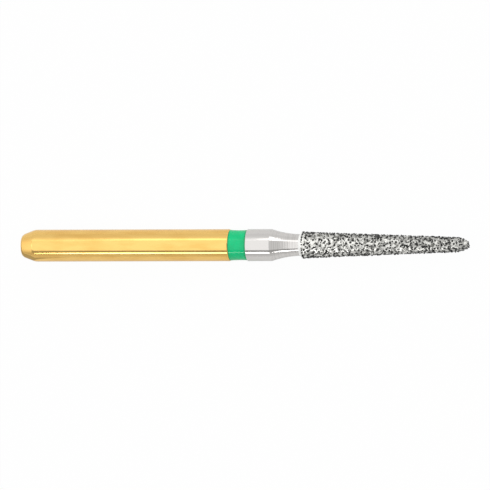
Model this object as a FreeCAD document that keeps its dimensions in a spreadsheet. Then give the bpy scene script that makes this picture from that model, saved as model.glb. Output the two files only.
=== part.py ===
import FreeCAD, Part
import bisect
import math
import os
import random
import Sketcher

# Diamond bur with a friction-grip shank. Millimetres, +Z up.
# The bur lies along X: the shank's end face is at x = 0 and the tip points along +X.

SIZES = [
    # Shank and its plating
    ("shank_diameter", 1.60),
    ("shank_length", 10.67),
    ("end_face_diameter", 0.97),
    ("end_bevel", 0.10),
    ("end_taper_length", 0.67),
    ("plating_thickness", 0.02),
    # Groove and the colour ring in it
    ("ring_width", 0.89),
    ("groove_depth", 0.17),
    ("groove_bevel", 0.03),
    ("ring_rear_recess", 0.03),
    ("ring_front_recess", 0.04),
    ("ring_hollow_radius", 6.0),
    # Bare collar and neck
    ("collar_length", 1.26),
    ("neck_length", 1.42),
    ("neck_curve_radius", 5.0),
    # Tapered core of the head
    ("core_diameter", 1.08),
    ("core_length", 8.13),
    ("core_front_diameter", 0.49),
    ("core_tip_length", 0.37),
    ("core_tip_diameter", 0.14),
    # Nickel layer over the core
    ("bond_thickness", 0.10),
    ("bond_edge_length", 0.10),
    ("bond_shoulder_radius", 0.30),
    ("bond_tip_radius", 0.10),
    # Diamond grains on the nickel
    ("grain_width", 0.155),
    ("grain_height", 0.06),
    ("grain_clearance", 0.01),
    ("grain_scatter", 0.015),
]

# Places along the axis and distances from it, as formulas on the sheet
SHANK_RADIUS = "Sizes.shank_diameter / 2"
FACE_RADIUS = "Sizes.end_face_diameter / 2"
PLATING = "Sizes.plating_thickness"
TAPER_START = "Sizes.end_bevel"
TAPER_START_RADIUS = FACE_RADIUS + " + Sizes.end_bevel"
TAPER_END = "Sizes.end_taper_length"
RING_REAR = "Sizes.shank_length"
RING_FRONT = RING_REAR + " + Sizes.ring_width"
NECK_REAR = RING_FRONT + " + Sizes.collar_length"
HEAD_REAR = NECK_REAR + " + Sizes.neck_length"
CORE_FRONT = HEAD_REAR + " + Sizes.core_length"
CORE_END = CORE_FRONT + " + Sizes.core_tip_length"
BOND_END = CORE_END + " + Sizes.bond_thickness"
BEVEL_REAR = RING_REAR + " - Sizes.groove_bevel"
BEVEL_FRONT = RING_FRONT + " + Sizes.groove_bevel"
BEVEL_RADIUS = SHANK_RADIUS + " - Sizes.groove_bevel"
GROOVE_RADIUS = SHANK_RADIUS + " - Sizes.groove_depth"
CORE_RADIUS = "Sizes.core_diameter / 2"
CORE_FRONT_RADIUS = "Sizes.core_front_diameter / 2"
CORE_TIP_RADIUS = "Sizes.core_tip_diameter / 2"
ON_AXIS = "0"

# A sketch counts an edge's two ends and its own axes by these numbers
START_INDEX = 1
END_INDEX = 2
AXIS_LINE_INDEX = -1
FACE_LINE_INDEX = -2
ORIGIN_INDEXES = (AXIS_LINE_INDEX, START_INDEX)

GOLDEN_ANGLE = math.pi * (3 - math.sqrt(5))
# A golden-angle spiral keeps this share of the square root of the area per grain free
SPIRAL_SPACING = math.sqrt(2 / math.sqrt(5))
OUTLINE_STEP = 0.005
GRAIN_SIDES = (3, 4, 4)
GRAIN_SEED = 7


def make_sheet(doc):
    """One spreadsheet holds every driving dimension under its own name."""
    sheet = doc.addObject("Spreadsheet::Sheet", "Sizes")
    for row, (alias, size) in enumerate(SIZES, start=1):
        sheet.set("A%d" % row, alias)
        sheet.set("B%d" % row, str(size))
        sheet.setAlias("B%d" % row, alias)
    doc.recompute()
    return sheet


def make_body(doc, label):
    """A body for one turned piece or layer."""
    body = doc.addObject("PartDesign::Body", label)
    body.Label = label
    return body


def half_section(body, name):
    """A sketch of half the section: along the bur's axis, and outwards from it."""
    plane = next(item for item in body.Origin.OriginFeatures if item.Role == "XZ_Plane")
    sketch = body.newObject("Sketcher::SketchObject", name)
    sketch.AttachmentSupport = [(plane, "")]
    sketch.MapMode = "FlatFace"
    return sketch


def place_of(sketch, corner):
    """The point that a corner's two formulas give now."""
    along, outward = corner
    return FreeCAD.Vector(sketch.evalExpression(along), sketch.evalExpression(outward), 0)


def bind(sketch, constraint, formula):
    """Adds a dimension and ties it to its formula."""
    index = sketch.addConstraint(constraint)
    sketch.setExpression("Constraints[%d]" % index, formula)


def pin(sketch, edge, end, corner):
    """Fixes an edge's end at a corner, from formulas along and out from the axis."""
    kinds = ("DistanceX", "DistanceY")
    zero_lines = (FACE_LINE_INDEX, AXIS_LINE_INDEX)
    for kind, formula, zero_line in zip(kinds, corner, zero_lines):
        if formula == ON_AXIS:
            sketch.addConstraint(Sketcher.Constraint("PointOnObject", edge, end, zero_line))
        else:
            size = sketch.evalExpression(formula)
            bind(sketch, Sketcher.Constraint(kind, *ORIGIN_INDEXES, edge, end, size), formula)


def hollow_arc(first, last, radius):
    """An arc between two points that dips towards the axis."""
    chord = last - first
    dip = radius - math.sqrt(radius ** 2 - (chord.Length / 2) ** 2)
    inward = FreeCAD.Vector(chord.y, -chord.x, 0).normalize()
    return Part.Arc(first, (first + last) / 2 + inward * dip, last)


def end_at(sketch, edge, point):
    """Says which end of an edge lies nearest to a point."""
    gaps = {end: sketch.getPoint(edge, end).distanceToPoint(point) for end in (START_INDEX, END_INDEX)}
    return min(gaps, key=gaps.get)


def add_edge(sketch, first, last, hollow=None):
    """A straight edge between two points, or one that is hollow to a radius formula."""
    if hollow is None:
        return sketch.addGeometry(Part.LineSegment(first, last))
    radius = sketch.evalExpression(hollow)
    edge = sketch.addGeometry(hollow_arc(first, last, radius))
    bind(sketch, Sketcher.Constraint("Radius", edge, radius), hollow)
    return edge


def join(sketch, before, after, point):
    """Makes the ends of two edges that lie at one point coincident."""
    ends = (before, end_at(sketch, before, point), after, end_at(sketch, after, point))
    sketch.addConstraint(Sketcher.Constraint("Coincident", *ends))


def open_outline(sketch, corners, hollows=None):
    """Joined edges through the corners; hollows gives the radius of each edge that is round."""
    hollows = hollows or {}
    points = [place_of(sketch, corner) for corner in corners]
    edges = []
    for index, (first, last) in enumerate(zip(points, points[1:])):
        edge = add_edge(sketch, first, last, hollows.get(index))
        pin(sketch, edge, end_at(sketch, edge, first), corners[index])
        if edges:
            join(sketch, edges[-1], edge, first)
        edges.append(edge)
    pin(sketch, edges[-1], end_at(sketch, edges[-1], points[-1]), corners[-1])
    return edges


def closed_outline(sketch, corners, hollows=None):
    """An outline through the corners and straight back to the first."""
    edges = open_outline(sketch, corners, hollows)
    first = place_of(sketch, corners[0])
    last = place_of(sketch, corners[-1])
    closing = add_edge(sketch, last, first)
    join(sketch, edges[-1], closing, last)
    join(sketch, closing, edges[0], first)


def turn(body, sketch):
    """Turns a half section once round the bur's axis."""
    turned = body.newObject("PartDesign::Revolution", body.Label + "_turned")
    turned.Profile = sketch
    turned.ReferenceAxis = (sketch, ["H_Axis"])
    turned.Angle = 360
    body.Document.recompute()
    return turned


def make_steel_blank(doc):
    """The turned steel: shank, ring groove, collar, hollow neck and the head's core."""
    body = make_body(doc, "steel_blank")
    sketch = half_section(body, "blank_outline")
    corners = [
        (PLATING, ON_AXIS),
        (PLATING, FACE_RADIUS + " - " + PLATING),
        (TAPER_START, TAPER_START_RADIUS + " - " + PLATING),
        (TAPER_END, SHANK_RADIUS + " - " + PLATING),
        (BEVEL_REAR, SHANK_RADIUS + " - " + PLATING),
        (RING_REAR, BEVEL_RADIUS + " - " + PLATING),
        (RING_REAR, GROOVE_RADIUS),
        (RING_FRONT, GROOVE_RADIUS),
        (RING_FRONT, BEVEL_RADIUS),
        (BEVEL_FRONT, SHANK_RADIUS),
        (NECK_REAR, SHANK_RADIUS),
        (HEAD_REAR, CORE_RADIUS),
        (CORE_FRONT, CORE_FRONT_RADIUS),
        (CORE_END, CORE_TIP_RADIUS),
        (CORE_END, ON_AXIS),
    ]
    neck_edge = corners.index((NECK_REAR, SHANK_RADIUS))
    closed_outline(sketch, corners, {neck_edge: "Sizes.neck_curve_radius"})
    turn(body, sketch)
    return body


def make_gold_plating(doc):
    """The plated skin of the shank, closed over its end face and down the groove's bevel."""
    body = make_body(doc, "gold_plating")
    sketch = half_section(body, "plating_outline")
    corners = [
        (ON_AXIS, ON_AXIS),
        (ON_AXIS, FACE_RADIUS),
        (TAPER_START, TAPER_START_RADIUS),
        (TAPER_END, SHANK_RADIUS),
        (BEVEL_REAR, SHANK_RADIUS),
        (RING_REAR, BEVEL_RADIUS),
        (RING_REAR, BEVEL_RADIUS + " - " + PLATING),
        (BEVEL_REAR, SHANK_RADIUS + " - " + PLATING),
        (TAPER_END, SHANK_RADIUS + " - " + PLATING),
        (TAPER_START, TAPER_START_RADIUS + " - " + PLATING),
        (PLATING, FACE_RADIUS + " - " + PLATING),
        (PLATING, ON_AXIS),
    ]
    closed_outline(sketch, corners)
    turn(body, sketch)
    return body


def make_colour_ring(doc):
    """The lacquer band in the groove, its surface slightly hollow between its edges."""
    body = make_body(doc, "colour_ring")
    sketch = half_section(body, "ring_outline")
    corners = [
        (RING_REAR, GROOVE_RADIUS),
        (RING_REAR, SHANK_RADIUS + " - Sizes.ring_rear_recess"),
        (RING_FRONT, SHANK_RADIUS + " - Sizes.ring_front_recess"),
        (RING_FRONT, GROOVE_RADIUS),
    ]
    surface_edge = 1
    closed_outline(sketch, corners, {surface_edge: "Sizes.ring_hollow_radius"})
    turn(body, sketch)
    return body


def offset_line(sketch, inner_edge, guess, formula):
    """A line outside an inner edge, parallel to it and at an even distance."""
    edge = sketch.addGeometry(Part.LineSegment(*guess))
    sketch.addConstraint(Sketcher.Constraint("Parallel", inner_edge, edge))
    gap = sketch.evalExpression(formula)
    bind(sketch, Sketcher.Constraint("Distance", inner_edge, START_INDEX, edge, gap), formula)
    return edge


def round_between(sketch, before, after, formula):
    """An arc that runs from the end of one line into the start of the next, tangent to both."""
    radius = sketch.evalExpression(formula)
    first = sketch.getPoint(before, END_INDEX)
    last = sketch.getPoint(after, START_INDEX)
    inward = FreeCAD.Vector(last.y - first.y, first.x - last.x, 0).normalize()
    depth = math.sqrt(radius ** 2 - (first.distanceToPoint(last) / 2) ** 2)
    centre = (first + last) / 2 + inward * depth
    crown = centre - inward * radius
    edge = sketch.addGeometry(Part.Arc(first, crown, last))
    for line, line_end, point in ((before, END_INDEX, first), (after, START_INDEX, last)):
        arc_end = end_at(sketch, edge, point)
        sketch.addConstraint(Sketcher.Constraint("Tangent", line, line_end, edge, arc_end))
    bind(sketch, Sketcher.Constraint("Radius", edge, radius), formula)
    return edge


def outward_from(direction):
    """The side of a forward edge that faces away from the steel."""
    return FreeCAD.Vector(-direction.y, direction.x, 0)


def layer_guess(points, thickness, radii):
    """Ends of the lines that lie outside a chain of points, trimmed for the rounds at its corners."""
    ways = [(last - first).normalize() for first, last in zip(points, points[1:])]
    lines = [[points[index] + outward_from(way) * thickness, None] for index, way in enumerate(ways)]
    for index, radius in enumerate(radii):
        before = ways[index]
        after = ways[index + 1]
        spread = (outward_from(before) + outward_from(after)) / (1 + before.dot(after))
        corner = points[index + 1] + spread * thickness
        trim = radius * math.tan(before.getAngle(after) / 2)
        lines[index][1] = corner - before * trim
        lines[index + 1][0] = corner + after * trim
    lines[-1][1] = points[-1] + outward_from(ways[-1]) * thickness
    return lines


def make_nickel_bond(doc):
    """The even plated layer over the core, bevelled at its rear and rounded over the tip."""
    body = make_body(doc, "nickel_bond")
    sketch = half_section(body, "bond_outline")
    corners = [
        (HEAD_REAR, CORE_RADIUS),
        (CORE_FRONT, CORE_FRONT_RADIUS),
        (CORE_END, CORE_TIP_RADIUS),
        (CORE_END, ON_AXIS),
    ]
    inner = open_outline(sketch, corners)
    points = [place_of(sketch, corner) for corner in corners]
    rounds = ("Sizes.bond_shoulder_radius", "Sizes.bond_tip_radius")
    radii = [sketch.evalExpression(formula) for formula in rounds]
    thickness = sketch.evalExpression("Sizes.bond_thickness")
    guesses = layer_guess(points, thickness, radii)
    guesses[0][0].x += sketch.evalExpression("Sizes.bond_edge_length")
    outer = [
        offset_line(sketch, edge, guess, "Sizes.bond_thickness")
        for edge, guess in zip(inner, guesses)
    ]
    arcs = [
        round_between(sketch, before, after, formula)
        for before, after, formula in zip(outer, outer[1:], rounds)
    ]
    rear_top = sketch.getPoint(outer[0], START_INDEX)
    rear = add_edge(sketch, points[0], rear_top)
    join(sketch, inner[0], rear, points[0])
    join(sketch, rear, outer[0], rear_top)
    rear_formula = HEAD_REAR + " + Sizes.bond_edge_length"
    rear_place = (*ORIGIN_INDEXES, outer[0], START_INDEX, rear_top.x)
    bind(sketch, Sketcher.Constraint("DistanceX", *rear_place), rear_formula)
    tip = sketch.getPoint(outer[-1], END_INDEX)
    sketch.addConstraint(Sketcher.Constraint("PointOnObject", outer[-1], END_INDEX, AXIS_LINE_INDEX))
    closing = add_edge(sketch, tip, points[-1])
    join(sketch, outer[-1], closing, tip)
    join(sketch, closing, inner[-1], points[-1])
    turn(body, sketch)
    surface = [sketch.Geometry[edge].toShape() for edge in outer + arcs]
    return body, surface


def surface_stations(surface):
    """Short steps along the nickel's outline: area turned so far, point and outward direction."""
    steps = []
    for edge in surface:
        count = math.ceil(edge.Length / OUTLINE_STEP)
        span = edge.LastParameter - edge.FirstParameter
        for index in range(count):
            parameter = edge.FirstParameter + span * (index + 0.5) / count
            point = edge.valueAt(parameter)
            away = outward_from(edge.tangentAt(parameter))
            if away.x + away.y < 0:
                away = away * -1
            steps.append((point, away, edge.Length / count))
    steps.sort(key=lambda step: step[0].x - step[0].y)
    stations = []
    area = 0.0
    for point, away, length in steps:
        area += 2 * math.pi * point.y * length
        stations.append((area, point, away))
    return stations


def grain_seats(surface, pitch, scatter, dice):
    """Seats for the grains: a ring at the rear, then one scattered golden-angle spiral to the tip."""
    stations = surface_stations(surface)
    areas = [area for area, _, _ in stations]
    rim = 2 * math.pi * stations[0][1].y
    ring_count = int(rim / pitch)
    row_area = rim * pitch
    turns = [(row_area / 2, 2 * math.pi * index / ring_count) for index in range(ring_count)]
    spiral_start = 1.5 * row_area
    spiral_area = areas[-1] - spiral_start
    spiral_count = int(spiral_area / (pitch / SPIRAL_SPACING) ** 2)
    for index in range(spiral_count):
        area = spiral_start + spiral_area * (index + 0.5) / spiral_count
        turns.append((area, index * GOLDEN_ANGLE))
    seats = []
    for area, angle in turns:
        radius = stations[bisect.bisect_left(areas, area)][1].y
        moved = area + 2 * math.pi * radius * dice.uniform(-scatter, scatter)
        angle += dice.uniform(-scatter, scatter) / radius
        station = min(max(bisect.bisect_left(areas, moved), 0), len(areas) - 1)
        _, point, away = stations[station]
        across = FreeCAD.Vector(0, math.cos(angle), math.sin(angle))
        along = FreeCAD.Vector(1, 0, 0)
        seats.append((along * point.x + across * point.y, along * away.x + across * away.y))
    return seats


def nearest_gap(seats, index):
    """The distance from one seat to the nearest other one."""
    place = seats[index][0]
    return min(
        place.distanceToPoint(other)
        for number, (other, _) in enumerate(seats)
        if number != index
    )


def grain_crystal(dice, width, height):
    """A blocky crystal on its seat: a steep pyramid whose point is broken off aslant."""
    sides = dice.choice(GRAIN_SIDES)
    turned = dice.uniform(0, 2 * math.pi)
    base = []
    for side in range(sides):
        angle = turned + 2 * math.pi * (side + dice.uniform(-0.2, 0.2)) / sides
        base.append(FreeCAD.Vector(math.cos(angle), math.sin(angle), 0) * width / 2)
    lean = width / 5
    apex = FreeCAD.Vector(dice.uniform(-lean, lean), dice.uniform(-lean, lean), 2 * height)
    slope = height / width
    break_way = FreeCAD.Vector(dice.uniform(-slope, slope), dice.uniform(-slope, slope), 1)
    break_point = FreeCAD.Vector(0, 0, height)
    top = []
    for corner in base:
        share = break_way.dot(break_point - corner) / break_way.dot(apex - corner)
        top.append(corner + (apex - corner) * share)
    shrink = height / max(corner.z for corner in top)
    for corner in top:
        corner.z *= shrink
    faces = [base[::-1], top]
    for side in range(sides):
        after = (side + 1) % sides
        faces.append([base[side], base[after], top[after], top[side]])
    shell = Part.Shell([Part.Face(Part.makePolygon(corners + corners[:1])) for corners in faces])
    return Part.Solid(shell)


def make_diamond_grit(doc, sheet, surface):
    """Separate diamond grains, each seated flat on the nickel where its outline says."""
    width = sheet.grain_width
    dice = random.Random(GRAIN_SEED)
    seats = grain_seats(surface, width + sheet.grain_clearance, sheet.grain_scatter, dice)
    grains = []
    for index, (place, away) in enumerate(seats):
        room = nearest_gap(seats, index) - sheet.grain_clearance
        height = sheet.grain_height * dice.uniform(0.7, 1.0)
        grain = grain_crystal(dice, min(width, room), height)
        grain.Placement = FreeCAD.Placement(place, FreeCAD.Rotation(FreeCAD.Vector(0, 0, 1), away))
        grains.append(grain)
    grit = doc.addObject("Part::Feature", "diamond_grit")
    grit.Label = "diamond_grit"
    grit.Shape = Part.makeCompound(grains)
    return grit


def check_model(doc, pieces):
    """Stops the build if an object failed or a piece is not a sound solid."""
    for item in doc.Objects:
        if "Invalid" in item.State or "Error" in item.State:
            raise RuntimeError("%s failed: %s" % (item.Name, item.State))
    for piece in pieces:
        if piece.Shape.isNull() or not piece.Shape.isValid() or piece.Shape.Volume <= 0:
            raise RuntimeError("%s is not a sound solid" % piece.Label)


def main():
    doc = FreeCAD.newDocument("diamond_bur")
    sheet = make_sheet(doc)
    nickel_bond, surface = make_nickel_bond(doc)
    pieces = [
        make_steel_blank(doc),
        make_gold_plating(doc),
        make_colour_ring(doc),
        nickel_bond,
        make_diamond_grit(doc, sheet, surface),
    ]
    doc.recompute()
    check_model(doc, pieces)
    os.makedirs("parts", exist_ok=True)
    for piece in pieces:
        piece.Shape.exportStep(os.path.join("parts", piece.Label + ".step"))


main()
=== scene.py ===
import math
import random

import bmesh
import bpy
from bpy.props import FloatProperty, FloatVectorProperty, IntProperty, PointerProperty
from mathutils import Euler, Matrix, Vector
from mathutils.kdtree import KDTree
from mathutils.noise import fractal


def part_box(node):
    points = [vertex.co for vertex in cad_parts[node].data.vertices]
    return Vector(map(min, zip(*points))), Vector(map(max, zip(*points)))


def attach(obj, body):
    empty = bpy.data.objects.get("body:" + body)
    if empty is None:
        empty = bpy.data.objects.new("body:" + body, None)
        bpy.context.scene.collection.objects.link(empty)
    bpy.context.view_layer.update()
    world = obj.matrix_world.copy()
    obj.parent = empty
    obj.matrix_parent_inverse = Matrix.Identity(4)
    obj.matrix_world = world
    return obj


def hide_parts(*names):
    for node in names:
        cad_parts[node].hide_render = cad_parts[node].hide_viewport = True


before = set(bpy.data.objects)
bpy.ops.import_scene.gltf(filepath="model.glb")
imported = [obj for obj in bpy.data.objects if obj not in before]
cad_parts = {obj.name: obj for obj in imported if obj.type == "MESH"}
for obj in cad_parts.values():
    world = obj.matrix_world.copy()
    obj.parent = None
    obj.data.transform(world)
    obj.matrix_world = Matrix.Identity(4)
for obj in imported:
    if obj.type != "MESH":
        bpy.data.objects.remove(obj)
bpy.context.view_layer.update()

bl_info = {
    "name": "Diamond bur",
    "version": (1, 0, 0),
    "blender": (4, 5, 0),
    "location": "View3D > Sidebar > Bur",
    "description": "Dresses the packed bur with turned, plated, lacquered and gritted pieces",
    "category": "Object",
}

MM = 0.001
BODY = "root"
FULL_TURN = 2 * math.pi
GOLDEN_ANGLE = math.pi * (3 - math.sqrt(5))
AXIS = Vector((1, 0, 0))
ORIGIN = Vector((0, 0, 0))

PLATING_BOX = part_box("gold_plating")
RING_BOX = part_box("colour_ring")
STEEL_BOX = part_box("steel_blank")
BOND_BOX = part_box("nickel_bond")
GRIT_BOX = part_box("diamond_grit")
SHANK_RADIUS = PLATING_BOX[1].z
RING_REAR = RING_BOX[0].x
RING_FRONT = RING_BOX[1].x
HEAD_REAR = BOND_BOX[0].x

TURN_STEPS = 128  # steps round the shank, the ring and the blank
HEAD_STEPS = 144  # steps round the nickel
NECK_CUTS = 96
RING_CUTS = 24
BOND_STEP = 0.036 * MM  # longest edge of the nickel's outline
SHARP_ANGLE = math.radians(50)  # edges sharper than this aren't smoothed

CLIMB_REACH = 0.62  # how far from a grain's middle the nickel rises, in grain sizes
CLIMB_HEIGHT = 0.02 * MM
LUMP_HEIGHT = 0.004 * MM
LUMP_SIZE = 0.05 * MM
RIM_INSET = 0.7  # from the nickel's rear corner to the first row, in grain sizes
RIM_SPACING = 0.9  # between the grains of the first row, in grain pitches
SPIRAL_START = 0.75  # from the first row to the spiral's start, in grain pitches
SPIRAL_LIMIT = 0.8  # nearest that a strayed grain comes to the first row, in grain pitches
STRAY = 0.42  # how far a grain strays from its seat, in grain pitches
BARE_LEAN = math.radians(10)  # how far the bare patch leans from the top of the tip
CRYSTAL_KINDS = 14
CLOUD_SIZE = 0.5 * MM  # size of the clouds of dark grains
DARK_SHARE = 0.78  # share of dark grains at the head's rear
DARK_FORWARD = 0.26  # how much that share grows up to the shoulder
DARK_CLOUDS = 0.6  # how much it varies from cloud to cloud
RIM_PAINTED_SHEEN = (0.95, 0.95, 0.93)  # painted sheen: matte near-white at the head's rear rim, standing in for the nickel's bright reflection there


def length_property(name, description, default):
    """A size in metres that a user may change."""
    return FloatProperty(
        name=name,
        description=description,
        default=default,
        min=0.0,
        precision=6,
        unit="LENGTH",
    )


def colour_property(name, description, default):
    """A linear colour that a user may change."""
    return FloatVectorProperty(
        name=name,
        description=description,
        default=default,
        min=0.0,
        max=1.0,
        size=3,
        subtype="COLOR",
    )


class BurShankSettings(bpy.types.PropertyGroup):
    """Sizes and colours of the plated shank and its ring"""

    end_face_radius: length_property("End face radius", "Flat face at the rear", 0.485 * MM)
    end_bevel: length_property("End bevel", "Short bevel round the rear face", 0.10 * MM)
    end_taper: length_property("End taper", "Where the rear taper meets the shank", 0.67 * MM)
    plating: length_property("Plating", "Thickness of the plating", 0.02 * MM)
    ring_bevel: length_property("Groove bevel", "Bevel on both rims of the groove", 0.03 * MM)
    groove_radius: length_property("Groove radius", "Radius of the groove's floor", 0.63 * MM)
    ring_rear_radius: length_property("Ring rear radius", "Lacquer's rear edge", 0.77 * MM)
    ring_front_radius: length_property("Ring front radius", "Lacquer's front edge", 0.76 * MM)
    ring_hollow: length_property("Ring hollow", "Dip of the lacquer's middle", 0.017 * MM)
    gold: colour_property("Plating colour", "Colour of the gold plating", (0.95, 0.62, 0.195))
    deep_gold: colour_property("Deep gold", "Redder gold in streaks", (0.88, 0.54, 0.155))
    lacquer: colour_property("Lacquer colour", "Colour of the ring", (0.001, 0.565, 0.215))
    deep_lacquer: colour_property("Deep lacquer", "Lacquer where it is deep", (0.001, 0.50, 0.18))


class BurHeadSettings(bpy.types.PropertyGroup):
    """Sizes and colours of the bare steel, the nickel and the diamond grains"""

    neck_start: length_property("Neck start", "Where the collar ends", 12.80 * MM)
    neck_end_radius: length_property("Neck radius", "Radius where the head starts", 0.54 * MM)
    neck_curve: length_property("Neck curve", "Radius of the hollow neck", 5.0 * MM)
    neck_mark: length_property("Turning marks", "Depth of the turning marks", 0.0022 * MM)
    core_front: length_property("Core front", "Where the core's tip bevel starts", 22.37 * MM)
    core_front_radius: length_property("Core front radius", "Core at its tip bevel", 0.245 * MM)
    core_tip_radius: length_property("Core tip radius", "Core at its very end", 0.07 * MM)
    bond_edge: length_property("Bond edge", "Length of the nickel's rear slope", 0.10 * MM)
    bond_radius: length_property("Bond radius", "Nickel at the head's rear", 0.6364 * MM)
    shoulder: length_property("Shoulder place", "Where the nickel's shoulder is", 22.394 * MM)
    shoulder_radius: length_property("Shoulder radius", "Nickel at the shoulder", 0.344 * MM)
    tip_radius: length_property("Tip radius", "Nickel's blunt front end", 0.155 * MM)
    grain_size: length_property("Grain size", "Mean width of a diamond grain", 0.134 * MM)
    grain_height: length_property("Grain height", "Mean height of a diamond grain", 0.075 * MM)
    grain_pitch: length_property("Grain pitch", "Mean distance between grains", 0.155 * MM)
    grain_depth: length_property("Grain depth", "How far a grain sits in the nickel", 0.030 * MM)
    rim_rise: length_property("Rim rise", "How much prouder the first row stands", 0.018 * MM)
    bare_spot: length_property("Bare spot", "Radius of the bare patch at the tip", 0.13 * MM)
    seed: IntProperty(name="Grain seed", description="Start of the random grains", default=11)
    steel: colour_property("Steel colour", "Colour of the bare steel", (0.69, 0.67, 0.65))
    nickel: colour_property("Nickel colour", "Colour of the nickel", (0.82, 0.815, 0.775))
    dark_grain: colour_property("Dark grain", "Darkest diamond grains", (0.003, 0.003, 0.002))
    pale_grain: colour_property("Pale grain", "Palest diamond grains", (0.26, 0.26, 0.23))


class BurStageSettings(bpy.types.PropertyGroup):
    """Camera and studio"""

    tilt: FloatProperty(
        name="Camera tilt",
        description="How far the camera leans towards the tip",
        default=math.radians(12.5),
        subtype="ANGLE",
    )
    roll: FloatProperty(
        name="Camera roll",
        description="How far the bur's line climbs in the picture",
        default=math.radians(0.15),
        subtype="ANGLE",
    )
    picture_width: length_property("Picture width", "Width that the camera sees", 24.5 * MM)
    backdrop: colour_property("Backdrop colour", "Floor and surroundings", (1.0, 1.0, 1.0))


# Meshes


def wire(mesh, points, closed=False):
    """A line through points of (place, radius), ready to be turned about the bur's axis."""
    corners = [mesh.verts.new((x, 0, r)) for x, r in points]
    for pair in zip(corners, corners[1:]):
        mesh.edges.new(pair)
    if closed:
        mesh.edges.new((corners[-1], corners[0]))


def corner_at(mesh, point):
    """The wire's vertex at a point of (place, radius)."""
    spot = Vector((point[0], 0, point[1]))
    return min(mesh.verts, key=lambda vertex: (vertex.co - spot).length_squared)


def round_corner(mesh, point, reach, steps=5):
    """Rounds one corner of a wire."""
    bmesh.ops.bevel(
        mesh,
        geom=[corner_at(mesh, point)],
        offset=reach,
        offset_type="OFFSET",
        segments=steps,
        profile=0.5,
        affect="VERTICES",
        material=-1,
    )


def cut_evenly(first, second, cuts):
    """Cuts the edge between two vertices of a wire evenly and returns the new vertices."""
    made = []
    for cut in range(cuts):
        edge = next(e for e in first.link_edges if e.other_vert(first) == second)
        _, first = bmesh.utils.edge_split(edge, first, 1 / (cuts + 1 - cut))
        made.append(first)
    return made


def refine(mesh, longest):
    """Cuts every edge of a wire into even parts no longer than a given length."""
    for edge in mesh.edges[:]:
        first, second = edge.verts
        cut_evenly(first, second, int(edge.calc_length() / longest))


def divide(mesh, start, end, cuts, sag, jitter=None):
    """Cuts a wire's edge evenly and pulls the cuts towards the axis along a shallow arc."""
    first, second = corner_at(mesh, start), corner_at(mesh, end)
    spot, line = first.co.copy(), second.co - first.co
    inward = Vector((line.z, 0, -line.x)).normalized()
    for vertex in cut_evenly(first, second, cuts):
        share = (vertex.co - spot).dot(line) / line.length_squared
        vertex.co += inward * sag * 4 * share * (1 - share)
        if jitter is not None:
            vertex.co += inward * jitter()


def turn(mesh, steps):
    """Turns the wire once about the bur's axis and closes the surface."""
    bmesh.ops.spin(
        mesh,
        geom=mesh.verts[:] + mesh.edges[:],
        cent=ORIGIN,
        axis=AXIS,
        dvec=ORIGIN,
        angle=FULL_TURN,
        steps=steps,
        use_merge=True,
        use_duplicate=False,
    )
    bmesh.ops.remove_doubles(mesh, verts=mesh.verts[:], dist=1e-8)
    loose = [vertex for vertex in mesh.verts if not vertex.link_faces]
    bmesh.ops.delete(mesh, geom=loose, context="VERTS")
    bmesh.ops.recalc_face_normals(mesh, faces=mesh.faces[:])


def make_object(mesh, name, material):
    """Makes an object of a mesh, at the origin."""
    data = bpy.data.meshes.new(name)
    mesh.to_mesh(data)
    mesh.free()
    data.materials.append(material)
    thing = bpy.data.objects.new(name, data)
    bpy.context.scene.collection.objects.link(thing)
    return thing


def finish_piece(mesh, name, material, node, smooth=True):
    """Makes the piece's object, which stands for its CAD node and rides with it."""
    for face in mesh.faces:
        face.smooth = smooth
    piece = make_object(mesh, name, material)
    if smooth:
        piece.data.set_sharp_from_angle(angle=SHARP_ANGLE)
    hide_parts(node)
    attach(piece, BODY)


# Materials


class Nodes:
    """A node tree, with short calls to add and join its nodes."""

    def __init__(self, tree):
        self.nodes = tree.nodes
        self.links = tree.links

    def add(self, kind, **settings):
        """A new node with the given settings."""
        node = self.nodes.new(kind)
        for key, value in settings.items():
            setattr(node, key, value)
        return node

    def join(self, source, target):
        """Joins one node's output to another's input."""
        self.links.new(source, target)

    def place(self, axis, space="Object"):
        """One coordinate of the shaded point, or of the direction in a world's shader."""
        coordinates = self.add("ShaderNodeTexCoord")
        split = self.add("ShaderNodeSeparateXYZ")
        self.join(coordinates.outputs[space], split.inputs["Vector"])
        return split.outputs[axis]

    def remap(self, source, start, end, low=0.0, high=1.0):
        """A value brought from one range to another and held at its ends."""
        node = self.add("ShaderNodeMapRange")
        limits = {"From Min": start, "From Max": end, "To Min": low, "To Max": high}
        for name, value in limits.items():
            node.inputs[name].default_value = value
        self.join(source, node.inputs["Value"])
        return node.outputs["Result"]

    def reckon(self, operation, *terms):
        """The result of a sum over outputs and plain numbers."""
        node = self.add("ShaderNodeMath", operation=operation)
        for term, target in zip(terms, node.inputs):
            if isinstance(term, bpy.types.NodeSocket):
                self.join(term, target)
            else:
                target.default_value = term
        return node.outputs["Value"]

    def ramp(self, source, stops):
        """A colour ramp over (place, colour) stops."""
        node = self.add("ShaderNodeValToRGB")
        elements = node.color_ramp.elements
        while len(elements) < len(stops):
            elements.new(0.5)
        for element, (place, colour) in zip(elements, stops):
            element.position = place
            element.color = (*colour, 1.0)
        self.join(source, node.inputs["Fac"])
        return node.outputs["Color"]

    def mix(self, factor, first, second):
        """A colour that goes from the first to the second by a factor."""
        node = self.add("ShaderNodeMix", data_type="RGBA")
        self.join(factor, node.inputs[0])
        for value, target in ((first, node.inputs[6]), (second, node.inputs[7])):
            if isinstance(value, bpy.types.NodeSocket):
                self.join(value, target)
            else:
                target.default_value = (*value, 1.0)
        return node.outputs[2]

    def surface_from(self, factor, first, second, output):
        """Shows one shader or another by a factor."""
        node = self.add("ShaderNodeMixShader")
        for source, target in zip((factor, first, second), node.inputs):
            self.join(source, target)
        self.join(node.outputs["Shader"], output.inputs["Surface"])


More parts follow.
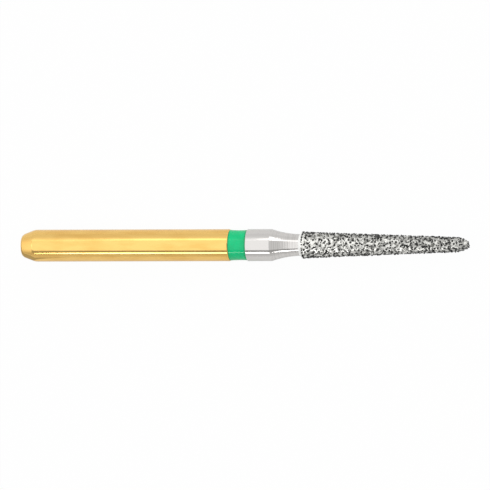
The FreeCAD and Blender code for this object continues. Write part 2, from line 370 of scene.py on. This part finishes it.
class Shader(Nodes):
    """A new material and its nodes."""

    def __init__(self, name):
        self.material = bpy.data.materials.new(name)
        self.material.use_nodes = True
        super().__init__(self.material.node_tree)
        self.surface = self.nodes["Principled BSDF"]

    def set(self, **values):
        """Sets constants on the surface's own sockets."""
        for key, value in values.items():
            self.surface.inputs[key.replace("_", " ")].default_value = value

    def noise(self, scale, detail, roughness=0.5):
        """Noise on object coordinates; scale is in cells per metre along each axis."""
        coordinates = self.add("ShaderNodeTexCoord")
        mapping = self.add("ShaderNodeMapping")
        mapping.inputs["Scale"].default_value = scale
        self.join(coordinates.outputs["Object"], mapping.inputs["Vector"])
        texture = self.add("ShaderNodeTexNoise")
        texture.inputs["Scale"].default_value = 1.0
        texture.inputs["Detail"].default_value = detail
        texture.inputs["Roughness"].default_value = roughness
        self.join(mapping.outputs["Vector"], texture.inputs["Vector"])
        return texture.outputs["Fac"]

    def span(self, source, low, high):
        """Noise brought to the range from low to high."""
        return self.remap(source, 0.3, 0.7, low, high)

    def along(self, start, end, low=0.0, high=1.0):
        """A value that goes from low to high between two places along the bur."""
        return self.remap(self.place("X"), start, end, low, high)

    def times(self, first, second):
        """The product of two colours or values."""
        node = self.add("ShaderNodeVectorMath", operation="MULTIPLY")
        self.join(first, node.inputs[0])
        self.join(second, node.inputs[1])
        return node.outputs["Vector"]

    def bump(self, source, height, strength=None):
        """Relief of a given height in metres."""
        node = self.add("ShaderNodeBump")
        node.inputs["Strength"].default_value = 1.0
        if strength is not None:
            self.join(strength, node.inputs["Strength"])
        node.inputs["Distance"].default_value = height
        self.join(source, node.inputs["Height"])
        self.join(node.outputs["Normal"], self.surface.inputs["Normal"])


def gold_plating_material(settings):
    """Bright gold over a ground shank: fine rings round it and faint cloudy colour."""
    shader = Shader("gold_plating_finish")
    shader.set(Metallic=1.0)
    clouds = shader.noise((700, 2600, 2600), detail=4)
    colour = shader.ramp(clouds, [(0.35, settings.deep_gold), (0.58, settings.gold)])
    shader.join(colour, shader.surface.inputs["Base Color"])
    wear = shader.noise((1500, 900, 900), detail=5)
    shader.join(shader.span(wear, 0.06, 0.11), shader.surface.inputs["Roughness"])
    rings = shader.noise((38000, 600, 600), detail=4, roughness=0.7)
    shader.bump(rings, 0.9e-6)
    return shader.material


def lacquer_material(settings):
    """Thick glossy lacquer, a little uneven in depth and surface, with painted shade darkening it
    towards both walls of the groove.
    """
    shader = Shader("green_lacquer_finish")
    shader.set(Roughness=0.1, IOR=1.38)
    depth = shader.noise((2400, 1500, 1500), detail=2)
    colour = shader.ramp(depth, [(0.3, settings.deep_lacquer), (0.6, settings.lacquer)])
    # painted shade: the lacquer darkens to 0.7 of its deep colour next to both groove walls
    edge = [0.7 * channel for channel in settings.deep_lacquer]
    rear = shader.along(RING_REAR + 0.01 * MM, RING_REAR + 0.07 * MM)
    front = shader.along(RING_FRONT - 0.10 * MM, RING_FRONT - 0.02 * MM)
    colour = shader.mix(front, shader.mix(rear, edge, colour), edge)
    shader.join(colour, shader.surface.inputs["Base Color"])
    skin = shader.noise((1800, 2600, 2600), detail=2)
    shader.bump(skin, 4e-6)
    return shader.material


def steel_material(settings):
    """Turned steel: a smooth collar, then the lathe's rings round the neck."""
    shader = Shader("turned_steel_finish")
    shader.set(Metallic=1.0)
    turned = shader.along(settings.neck_start, settings.neck_start + 0.03 * MM, 0.04, 1.0)
    tone = shader.noise((21000, 500, 500), detail=3)
    pale = settings.steel
    dull = [channel * 0.86 for channel in pale]
    colour = shader.mix(turned, pale, shader.ramp(tone, [(0.3, dull), (0.55, pale)]))
    shader.join(colour, shader.surface.inputs["Base Color"])
    wear = shader.noise((1500, 900, 900), detail=4)
    shader.join(shader.span(wear, 0.06, 0.12), shader.surface.inputs["Roughness"])
    rings = shader.noise((30000, 500, 500), detail=5, roughness=0.7)
    shader.bump(rings, 2.2e-6, strength=turned)
    return shader.material


def nickel_material(settings):
    """Stained nickel with small nodules, darker towards the tip, and a painted sheen at the rear
    rim: matte near-white instead of metallic.
    """
    shader = Shader("nickel_finish")
    stain = shader.noise((6000, 6000, 6000), detail=3)
    stain = shader.times(stain, shader.along(HEAD_REAR, settings.shoulder, 1.0, 0.92))
    dull = [channel * 0.38 for channel in settings.nickel]
    colour = shader.ramp(stain, [(0.37, dull), (0.53, settings.nickel)])
    darker_to_tip = shader.along(HEAD_REAR, settings.shoulder, 1.0, 0.8)
    # painted sheen: the rear rim is matte near-white, not metallic, where the nickel shows a
    # bright reflection
    rim = HEAD_REAR + settings.bond_edge
    beyond = shader.along(rim, rim + 0.08 * MM)
    colour = shader.mix(beyond, RIM_PAINTED_SHEEN, shader.times(colour, darker_to_tip))
    shader.join(colour, shader.surface.inputs["Base Color"])
    shader.join(beyond, shader.surface.inputs["Metallic"])
    matt = shader.along(rim, rim + 0.04 * MM, 0.5, 0.0)
    rough = shader.reckon("MAXIMUM", shader.span(stain, 0.14, 0.28), matt)
    shader.join(rough, shader.surface.inputs["Roughness"])
    nodules = shader.noise((30000, 30000, 30000), detail=3)
    shader.bump(nodules, 6e-6)
    return shader.material


def diamond_material(settings):
    """Diamond grains: each has its own tone, from near black to pale grey."""
    shader = Shader("diamond_finish")
    shader.set(Roughness=0.18, IOR=1.5)
    tone = shader.add("ShaderNodeAttribute", attribute_name="tone").outputs["Fac"]
    grain = shader.noise((16000, 16000, 16000), detail=3)
    middle = [0.3 * pale for pale in settings.pale_grain]
    colour = shader.ramp(
        shader.reckon("MULTIPLY_ADD", grain, 0.3, tone),
        [(0.25, settings.dark_grain), (0.7, middle), (1.1, settings.pale_grain)],
    )
    darker_to_tip = shader.along(HEAD_REAR, settings.shoulder, 1.0, 0.5)
    shader.join(shader.times(colour, darker_to_tip), shader.surface.inputs["Base Color"])
    return shader.material


# Pieces


class BUR_OT_gold_plating(bpy.types.Operator):
    """Turn the gold-plated skin of the shank"""

    bl_idname = "bur.gold_plating"
    bl_label = "Gold plating"

    def execute(self, context):
        s = context.scene.bur_shank
        inner = SHANK_RADIUS - s.plating
        face_edge = (0, s.end_face_radius)
        bevel_edge = (s.end_bevel, s.end_face_radius + s.end_bevel)
        taper_edge = (s.end_taper, SHANK_RADIUS)
        groove_edge = (RING_REAR - s.ring_bevel, SHANK_RADIUS)
        groove_lip = (RING_REAR, SHANK_RADIUS - s.ring_bevel)
        outline = [
            (0, 0),
            face_edge,
            bevel_edge,
            taper_edge,
            groove_edge,
            groove_lip,
            (RING_REAR, groove_lip[1] - s.plating),
            (RING_REAR - s.ring_bevel, inner),
            (s.end_taper, inner),
            (s.end_bevel, bevel_edge[1] - s.plating),
            (s.plating, s.end_face_radius - s.plating),
            (s.plating, 0),
        ]
        mesh = bmesh.new()
        wire(mesh, outline)
        round_corner(mesh, face_edge, 0.035 * MM)
        round_corner(mesh, bevel_edge, 0.07 * MM)
        round_corner(mesh, taper_edge, 0.10 * MM, steps=6)
        round_corner(mesh, groove_edge, 0.008 * MM)
        round_corner(mesh, groove_lip, 0.006 * MM)
        turn(mesh, TURN_STEPS)
        finish_piece(mesh, "plated_shank", gold_plating_material(s), "gold_plating")
        return {"FINISHED"}


class BUR_OT_colour_ring(bpy.types.Operator):
    """Turn the lacquer ring in its groove"""

    bl_idname = "bur.colour_ring"
    bl_label = "Colour ring"

    def execute(self, context):
        s = context.scene.bur_shank
        rear, front = (RING_REAR, s.ring_rear_radius), (RING_FRONT, s.ring_front_radius)
        floor = s.groove_radius
        mesh = bmesh.new()
        wire(mesh, [(RING_REAR, floor), rear, front, (RING_FRONT, floor)], closed=True)
        divide(mesh, rear, front, RING_CUTS, s.ring_hollow)
        round_corner(mesh, rear, 0.016 * MM)
        round_corner(mesh, front, 0.016 * MM)
        turn(mesh, TURN_STEPS)
        finish_piece(mesh, "lacquer_ring", lacquer_material(s), "colour_ring")
        return {"FINISHED"}


class BUR_OT_steel_blank(bpy.types.Operator):
    """Turn the steel blank with its collar, neck and core"""

    bl_idname = "bur.steel_blank"
    bl_label = "Steel blank"

    def execute(self, context):
        shank, head = context.scene.bur_shank, context.scene.bur_head
        inner = SHANK_RADIUS - shank.plating
        rim = SHANK_RADIUS - shank.ring_bevel
        groove_lip = (RING_FRONT, rim)
        collar_rear = (RING_FRONT + shank.ring_bevel, SHANK_RADIUS)
        neck_rear = (head.neck_start, SHANK_RADIUS)
        neck_front = (HEAD_REAR, head.neck_end_radius)
        outline = [
            (shank.plating, 0),
            (shank.plating, shank.end_face_radius - shank.plating),
            (shank.end_bevel, shank.end_face_radius + shank.end_bevel - shank.plating),
            (shank.end_taper, inner),
            (RING_REAR - shank.ring_bevel, inner),
            (RING_REAR, rim - shank.plating),
            (RING_REAR, shank.groove_radius),
            (RING_FRONT, shank.groove_radius),
            groove_lip,
            collar_rear,
            # keeps the collar's shading straight up to its corner with the neck
            (head.neck_start - 0.03 * MM, SHANK_RADIUS),
            neck_rear,
            neck_front,
            (head.core_front, head.core_front_radius),
            (STEEL_BOX[1].x, head.core_tip_radius),
            (STEEL_BOX[1].x, 0),
        ]
        mesh = bmesh.new()
        wire(mesh, outline)
        chord = math.dist(neck_rear, neck_front)
        sag = head.neck_curve - math.sqrt(head.neck_curve**2 - chord**2 / 4)
        dice = random.Random(head.seed)
        divide(
            mesh,
            neck_rear,
            neck_front,
            NECK_CUTS,
            sag,
            jitter=lambda: dice.random() * head.neck_mark,
        )
        round_corner(mesh, groove_lip, 0.006 * MM)
        round_corner(mesh, collar_rear, 0.008 * MM)
        turn(mesh, TURN_STEPS)
        finish_piece(mesh, "turned_blank", steel_material(head), "steel_blank")
        return {"FINISHED"}


def bond_outline(head):
    """The nickel's outer corners, from the neck to the tip."""
    return [
        (HEAD_REAR, head.neck_end_radius),
        (HEAD_REAR + head.bond_edge, head.bond_radius),
        (head.shoulder, head.shoulder_radius),
        (BOND_BOX[1].x, head.tip_radius),
        (BOND_BOX[1].x, 0),
    ]


def seat_at(outline, reach):
    """Place, radius and outward direction at a distance along the nickel's outline."""
    for (x0, r0), (x1, r1) in zip(outline, outline[1:]):
        length = math.hypot(x1 - x0, r1 - r0)
        if reach <= length:
            share = reach / length
            outward = Vector((r0 - r1, 0, x1 - x0)).normalized()
            return Vector((x0 + (x1 - x0) * share, 0, r0 + (r1 - r0) * share)), outward
        reach -= length
    return None


def rim_seats(head, outline, rim, dice):
    """Seats of the even row of grains round the rear rim, which stands a little prouder."""
    place, outward = seat_at(outline, rim)
    count = round(FULL_TURN * place.z / (RIM_SPACING * head.grain_pitch))
    seats = []
    for index in range(count):
        spin = Matrix.Rotation(FULL_TURN * (index + dice.uniform(-0.15, 0.15)) / count, 3, "X")
        shift = AXIS * dice.uniform(-0.1, 0.1) * head.grain_pitch
        seats.append((spin @ (place + shift), spin @ outward, head.rim_rise))
    return seats


def bare_place(outline):
    """The middle of the patch without grains, on the upper side of the tip."""
    (x0, r0), (x1, r1) = outline[2:4]
    radius = (r0 + 2 * r1) / 3
    place = (x0 + 2 * x1) / 3
    return Vector((place, radius * math.sin(BARE_LEAN), radius * math.cos(BARE_LEAN)))


def grain_seats(head, dice):
    """Seats of the grains: an even row round the rear rim, then a loose spiral."""
    outline = bond_outline(head)
    rim = math.dist(outline[0], outline[1]) + RIM_INSET * head.grain_size
    seats = rim_seats(head, outline, rim, dice)
    bare = bare_place(outline)
    area = head.grain_pitch**2 * math.sqrt(3) / 2
    reach, angle = rim + SPIRAL_START * head.grain_pitch, 0.0
    while True:
        found = seat_at(outline, reach)
        if found is None or found[0].z < head.grain_size / 3:
            return seats
        place, outward = found
        across, over = (dice.uniform(-STRAY, STRAY) * head.grain_pitch for _ in range(2))
        limit = rim + SPIRAL_LIMIT * head.grain_pitch
        shifted = seat_at(outline, max(limit, reach + across))
        if shifted is not None:
            place, outward = shifted
        spin = Matrix.Rotation(angle + over / place.z, 3, "X")
        if (spin @ place - bare).length > head.bare_spot:
            seats.append((spin @ place, spin @ outward, 0.0))
        reach += area / (FULL_TURN * max(place.z, head.grain_size))
        angle += GOLDEN_ANGLE


def climb_round(mesh, head, seats, fixed):
    """Lets the nickel rise round each grain and dip between them, but not at its ends."""
    tree = KDTree(len(seats))
    for index, (place, _, _) in enumerate(seats):
        tree.insert(place, index)
    tree.balance()
    reach = head.grain_size * CLIMB_REACH
    for vertex in mesh.verts:
        spot = (vertex.co.x, math.hypot(vertex.co.y, vertex.co.z))
        if min(math.dist(spot, corner) for corner in fixed) < 1e-7:
            continue
        _, _, gap = tree.find(vertex.co)
        climb = max(0.0, 1.0 - (gap / reach) ** 2)
        relief = (climb - 0.4) * CLIMB_HEIGHT
        relief += LUMP_HEIGHT * fractal(vertex.co / LUMP_SIZE, 1.0, 2.0, 3)
        vertex.co += vertex.normal * relief


class BUR_OT_nickel_bond(bpy.types.Operator):
    """Turn the nickel layer and let it climb round every grain"""

    bl_idname = "bur.nickel_bond"
    bl_label = "Nickel bond"

    def execute(self, context):
        head = context.scene.bur_head
        mesh = bmesh.new()
        outer = bond_outline(head)
        neck_end, _, shoulder, tip_edge, tip = outer
        inner = [
            (STEEL_BOX[1].x, 0),
            (STEEL_BOX[1].x, head.core_tip_radius),
            (head.core_front, head.core_front_radius),
        ]
        wire(mesh, outer)
        round_corner(mesh, shoulder, 0.06 * MM)
        round_corner(mesh, tip_edge, 0.05 * MM)
        refine(mesh, BOND_STEP)
        wire(mesh, [tip, *inner, neck_end])
        turn(mesh, HEAD_STEPS)
        seats = grain_seats(head, random.Random(head.seed))
        climb_round(mesh, head, seats, [neck_end, *inner])
        finish_piece(mesh, "nickel_layer", nickel_material(head), "nickel_bond")
        return {"FINISHED"}


def crystal_shapes(dice, count):
    """A few rough crystals, each a hull round scattered points and about one unit wide."""
    shapes = []
    for _ in range(count):
        mesh = bmesh.new()
        for _ in range(dice.randint(9, 12)):
            way = Vector(dice.gauss(0, 1) for _ in range(3)).normalized()
            mesh.verts.new(way * dice.uniform(0.44, 0.56))
        made = bmesh.ops.convex_hull(mesh, input=mesh.verts[:])
        spare = set(made["geom_interior"]) | set(made["geom_unused"])
        bmesh.ops.delete(mesh, geom=list(spare), context="VERTS")
        bmesh.ops.dissolve_limit(
            mesh, angle_limit=math.radians(14), verts=mesh.verts[:], edges=mesh.edges[:]
        )
        bmesh.ops.recalc_face_normals(mesh, faces=mesh.faces[:])
        data = bpy.data.meshes.new("crystal")
        mesh.to_mesh(data)
        mesh.free()
        shapes.append(data)
    return shapes


def grain_tone(head, place, dice):
    """A grain's tone, from 0 for dark to 1 for pale: clouds of dark, and more near the tip."""
    cloud = fractal(place / CLOUD_SIZE, 1.0, 2.0, 2)
    forward = (place.x - HEAD_REAR) / (head.shoulder - HEAD_REAR)
    dark = dice.random() < DARK_SHARE + DARK_FORWARD * forward + DARK_CLOUDS * cloud
    return dice.uniform(0, 0.1) if dark else dice.uniform(0.4, 1)


class BUR_OT_diamond_grit(bpy.types.Operator):
    """Set the diamond grains into the nickel"""

    bl_idname = "bur.diamond_grit"
    bl_label = "Diamond grit"

    def execute(self, context):
        head = context.scene.bur_head
        seats = grain_seats(head, random.Random(head.seed))
        dice = random.Random(head.seed + 1)
        shapes = crystal_shapes(dice, CRYSTAL_KINDS)
        mesh = bmesh.new()
        tone = mesh.verts.layers.float.new("tone")
        for place, outward, rise in seats:
            before = len(mesh.verts)
            mesh.from_mesh(dice.choice(shapes))
            mesh.verts.ensure_lookup_table()
            made = mesh.verts[before:]
            width = head.grain_size * dice.uniform(0.65, 1.35)
            height = head.grain_height * dice.uniform(0.8, 1.25)
            shade = grain_tone(head, place, dice)
            if rise:
                width, shade = 0.85 * head.grain_size, dice.uniform(0, 0.05)
            size = Matrix.Diagonal((width * dice.uniform(0.8, 1.2), width, height)).to_4x4()
            spin = Euler((dice.uniform(0, FULL_TURN) for _ in range(3))).to_matrix().to_4x4()
            stand = outward.to_track_quat("Z", "Y").to_matrix().to_4x4()
            lift = Matrix.Translation(place + outward * (height / 2 - head.grain_depth + rise))
            bmesh.ops.transform(mesh, matrix=lift @ stand @ size @ spin, verts=made)
            # no grain stands past the CAD grit's front end
            beyond = max(vertex.co.x for vertex in made) - GRIT_BOX[1].x
            for vertex in made:
                vertex[tone] = shade
                vertex.co.x -= max(0.0, beyond)
        for shape in shapes:
            bpy.data.meshes.remove(shape)
        material = diamond_material(head)
        finish_piece(mesh, "grains", material, "diamond_grit", smooth=False)
        return {"FINISHED"}


# Stage

# Name, angle round the bur from straight up and half the angle that the lamp fills, both in
# degrees, rear and front end in metres along the bur, and radiance.
LAMPS = (
    ("overhead_softbox", 0, 37, -0.13, 0.0295, 0.85),
    ("far_softbox", 0, 37, 0.0295, 0.11, 0.43),
    ("front_softbox", 0, 37, 0.11, 0.25, 0.85),
    ("upper_strip", 43.5, 5.7, -0.027, 0.25, 0.55),
    ("front_strip", 52, 14, 0.045, 0.12, 1.0),
)
# The narrow bright strip low in front, which shows only as a glint.
GLINT_LAMP = ("lower_strip", -58.0, 3.8, -0.038, 0.048, 4.6)
LAMP_DISTANCE = 0.15

# Brightness of the surroundings by the angle round the bur, in degrees from straight up.
SIDE_LEVELS = (
    (-110, 0.76),
    (-88, 0.74),
    (-78, 0.68),
    (-66, 0.66),
    (-53, 0.44),
    (-38, 0.44),
    (-34, 0.35),
    (35, 0.35),
    (37.5, 1.25),
    (45, 1.2),
    (53, 1.0),
    (61, 0.88),
    (70, 0.83),
    (110, 0.8),
)
# Where the surroundings behind the rear end take over, by the part of the direction along
# the bur, and their brightness, by its sideways part.
BEHIND = (-0.58, -0.66)
REAR_LEVELS = (
    (-0.74, 0.55),
    (-0.66, 0.7),
    (-0.58, 0.9),
    (-0.5, 1.0),
    (-0.35, 1.18),
    (0.3, 1.18),
    (0.5, 1.05),
    (0.62, 0.95),
    (0.74, 0.83),
)

FLOOR_REACH = 0.6
FLOOR_SHARE = 0.8  # the floor's own colour, as a share of the backdrop's
FLOOR_GLOSS = (0.1, 0.35)  # the floor's glow in reflections, in front of the bur and behind it
# The card is a painted floor shadow: a dim glow seen only in the bur's reflections.
CARD_CORNERS = ((-12, -12), (0.2, -12), (0.2, -0.9), (-12, -0.9))  # millimetres
CARD_GAP = 0.01 * MM
SHADOW_CARD_LEVEL = 0.45

LENS = 1400  # a lens this long shows the bur almost without perspective
SENSOR_WIDTH = 36
PICTURE_PIXELS = 490
REAR_PIXEL = 22.1  # where the middle of the rear face stands in the picture
LINE_DROP = 0.12  # how far the bur's line lies below the picture's middle, in pixels


def softbox(name, angle, half_angle, rear, front, radiance):
    """A soft lamp over the bur, at an angle round its axis from straight up."""
    turned = math.radians(angle)
    data = bpy.data.lights.new(name, "AREA")
    data.shape = "RECTANGLE"
    data.size = front - rear
    data.size_y = 2 * LAMP_DISTANCE * math.tan(math.radians(half_angle))
    data.energy = radiance * math.pi * data.size * data.size_y
    lamp = bpy.data.objects.new(name, data)
    away = Vector((0, math.sin(turned), math.cos(turned)))
    lamp.location = AXIS * (rear + front) / 2 + LAMP_DISTANCE * away
    lamp.rotation_euler = (-turned, 0, 0)
    lamp.visible_camera = False
    bpy.context.scene.collection.objects.link(lamp)
    return lamp


class BUR_OT_stage(bpy.types.Operator):
    """Make the floor, the lamps, the surroundings and the camera"""

    bl_idname = "bur.stage"
    bl_label = "Stage"

    def execute(self, context):
        s = context.scene.bur_stage
        scene = context.scene
        scene.view_settings.view_transform = "Standard"
        self.make_floor(s)
        self.make_shadow_card()
        self.make_surroundings(scene, s)
        self.make_lamps()
        self.make_camera(scene, s)
        return {"FINISHED"}

    def make_floor(self, s):
        """White for the camera, plainly lit, and dimmer in the bur's reflections."""
        mesh = bmesh.new()
        bmesh.ops.create_grid(mesh, x_segments=8, y_segments=8, size=FLOOR_REACH)
        bmesh.ops.translate(mesh, verts=mesh.verts[:], vec=(0, 0, -SHANK_RADIUS))
        shader = Shader("studio_floor_finish")
        shader.set(
            Base_Color=(*(FLOOR_SHARE * channel for channel in s.backdrop), 1.0),
            Roughness=0.9,
            Specular_IOR_Level=0.1,
        )
        glow = shader.add("ShaderNodeEmission")
        glow.inputs["Color"].default_value = (*s.backdrop, 1.0)
        path = shader.add("ShaderNodeLightPath")
        side = shader.remap(shader.place("Y"), -0.01, 0.01, *FLOOR_GLOSS)
        gloss = shader.reckon("MULTIPLY", path.outputs["Is Glossy Ray"], side)
        share = shader.reckon("MULTIPLY_ADD", path.outputs["Is Camera Ray"], 0.97, gloss)
        shader.surface_from(
            share,
            shader.surface.outputs["BSDF"],
            glow.outputs["Emission"],
            shader.nodes["Material Output"],
        )
        make_object(mesh, "studio_floor", shader.material)

    def make_shadow_card(self):
        """A dim glowing card on the floor beside the rear end, seen only in reflections: a
        painted shadow of the floor there.
        """
        mesh = bmesh.new()
        height = CARD_GAP - SHANK_RADIUS
        mesh.faces.new([mesh.verts.new((x * MM, y * MM, height)) for x, y in CARD_CORNERS])
        # painted shadow: a dim glow where the floor next to the rear end lies in the bur's shade
        shader = Shader("painted_shadow_card_finish")
        shader.set(
            Base_Color=(0.0, 0.0, 0.0, 1.0),
            Specular_IOR_Level=0.0,
            Emission_Color=(1.0, 1.0, 1.0, 1.0),
            Emission_Strength=SHADOW_CARD_LEVEL,
        )
        card = make_object(mesh, "painted_shadow_card", shader.material)
        card.visible_camera = False
        card.visible_diffuse = False
        card.visible_shadow = False

    def make_surroundings(self, scene, s):
        """White for the camera; for everything else a pale studio that dims to its sides."""
        world = bpy.data.worlds.new("studio_surroundings")
        scene.world = world
        world.use_nodes = True
        sky = Nodes(world.node_tree)
        plain = sky.nodes["Background"]
        studio = sky.add("ShaderNodeBackground")
        for background in (plain, studio):
            background.inputs["Color"].default_value = (*s.backdrop, 1.0)
        across = sky.place("Y", "Generated")
        around = sky.reckon("ARCTAN2", across, sky.place("Z", "Generated"))
        sides = sky.ramp(
            sky.remap(around, -math.pi, math.pi),
            [(0.5 + degrees / 360, (level,) * 3) for degrees, level in SIDE_LEVELS],
        )
        rear = sky.ramp(
            sky.remap(across, -1.0, 1.0),
            [(0.5 + side / 2, (level,) * 3) for side, level in REAR_LEVELS],
        )
        behind = sky.remap(sky.place("X", "Generated"), *BEHIND)
        sky.join(sky.mix(behind, sides, rear), studio.inputs["Strength"])
        sky.surface_from(
            sky.add("ShaderNodeLightPath").outputs["Is Camera Ray"],
            studio.outputs["Background"],
            plain.outputs["Background"],
            sky.nodes["World Output"],
        )

    def make_lamps(self):
        for name, angle, half_angle, rear, front, radiance in LAMPS:
            softbox(name, angle, half_angle, rear, front, radiance)
        name, angle, half_angle, rear, front, radiance = GLINT_LAMP
        softbox(name, angle, half_angle, rear, front, radiance).visible_diffuse = False

    def make_camera(self, scene, s):
        data = bpy.data.cameras.new("camera")
        data.lens = LENS
        data.sensor_width = SENSOR_WIDTH
        distance = s.picture_width * LENS / SENSOR_WIDTH
        back = Vector((math.sin(s.tilt), 0, math.cos(s.tilt)))
        right = Vector((math.cos(s.tilt), 0, -math.sin(s.tilt)))
        up = Vector((0, 1, 0))
        pixel = s.picture_width / PICTURE_PIXELS
        middle = AXIS * (PICTURE_PIXELS / 2 - REAR_PIXEL) * pixel / math.cos(s.tilt)
        target = middle + up * LINE_DROP * pixel
        camera = bpy.data.objects.new("camera", data)
        turned = Matrix((right, up, back)).transposed().to_4x4()
        roll = Matrix.Rotation(-s.roll, 4, "Z")
        camera.matrix_world = Matrix.Translation(target + back * distance) @ turned @ roll
        data.clip_start = 0.01
        data.clip_end = 10
        scene.collection.objects.link(camera)
        scene.camera = camera


PIECES = (
    BUR_OT_steel_blank,
    BUR_OT_gold_plating,
    BUR_OT_colour_ring,
    BUR_OT_nickel_bond,
    BUR_OT_diamond_grit,
    BUR_OT_stage,
)


class BUR_PT_panel(bpy.types.Panel):
    """Pieces and settings of the bur"""

    bl_idname = "BUR_PT_panel"
    bl_label = "Diamond bur"
    bl_space_type = "VIEW_3D"
    bl_region_type = "UI"
    bl_category = "Bur"

    def draw(self, context):
        for settings in ("bur_shank", "bur_head", "bur_stage"):
            group = getattr(context.scene, settings)
            box = self.layout.box()
            for name in group.__annotations__:
                box.prop(group, name)
        for piece in PIECES:
            self.layout.operator(piece.bl_idname)


SETTINGS = {
    "bur_shank": BurShankSettings,
    "bur_head": BurHeadSettings,
    "bur_stage": BurStageSettings,
}


def register():
    for name, settings in SETTINGS.items():
        bpy.utils.register_class(settings)
        setattr(bpy.types.Scene, name, PointerProperty(type=settings))
    for piece in PIECES:
        bpy.utils.register_class(piece)
    bpy.utils.register_class(BUR_PT_panel)


def unregister():
    bpy.utils.unregister_class(BUR_PT_panel)
    for piece in reversed(PIECES):
        bpy.utils.unregister_class(piece)
    for name, settings in SETTINGS.items():
        delattr(bpy.types.Scene, name)
        bpy.utils.unregister_class(settings)


def main():
    register()
    bpy.ops.bur.steel_blank()
    bpy.ops.bur.gold_plating()
    bpy.ops.bur.colour_ring()
    bpy.ops.bur.nickel_bond()
    bpy.ops.bur.diamond_grit()
    bpy.ops.bur.stage()


if __name__ == "__main__":
    main()
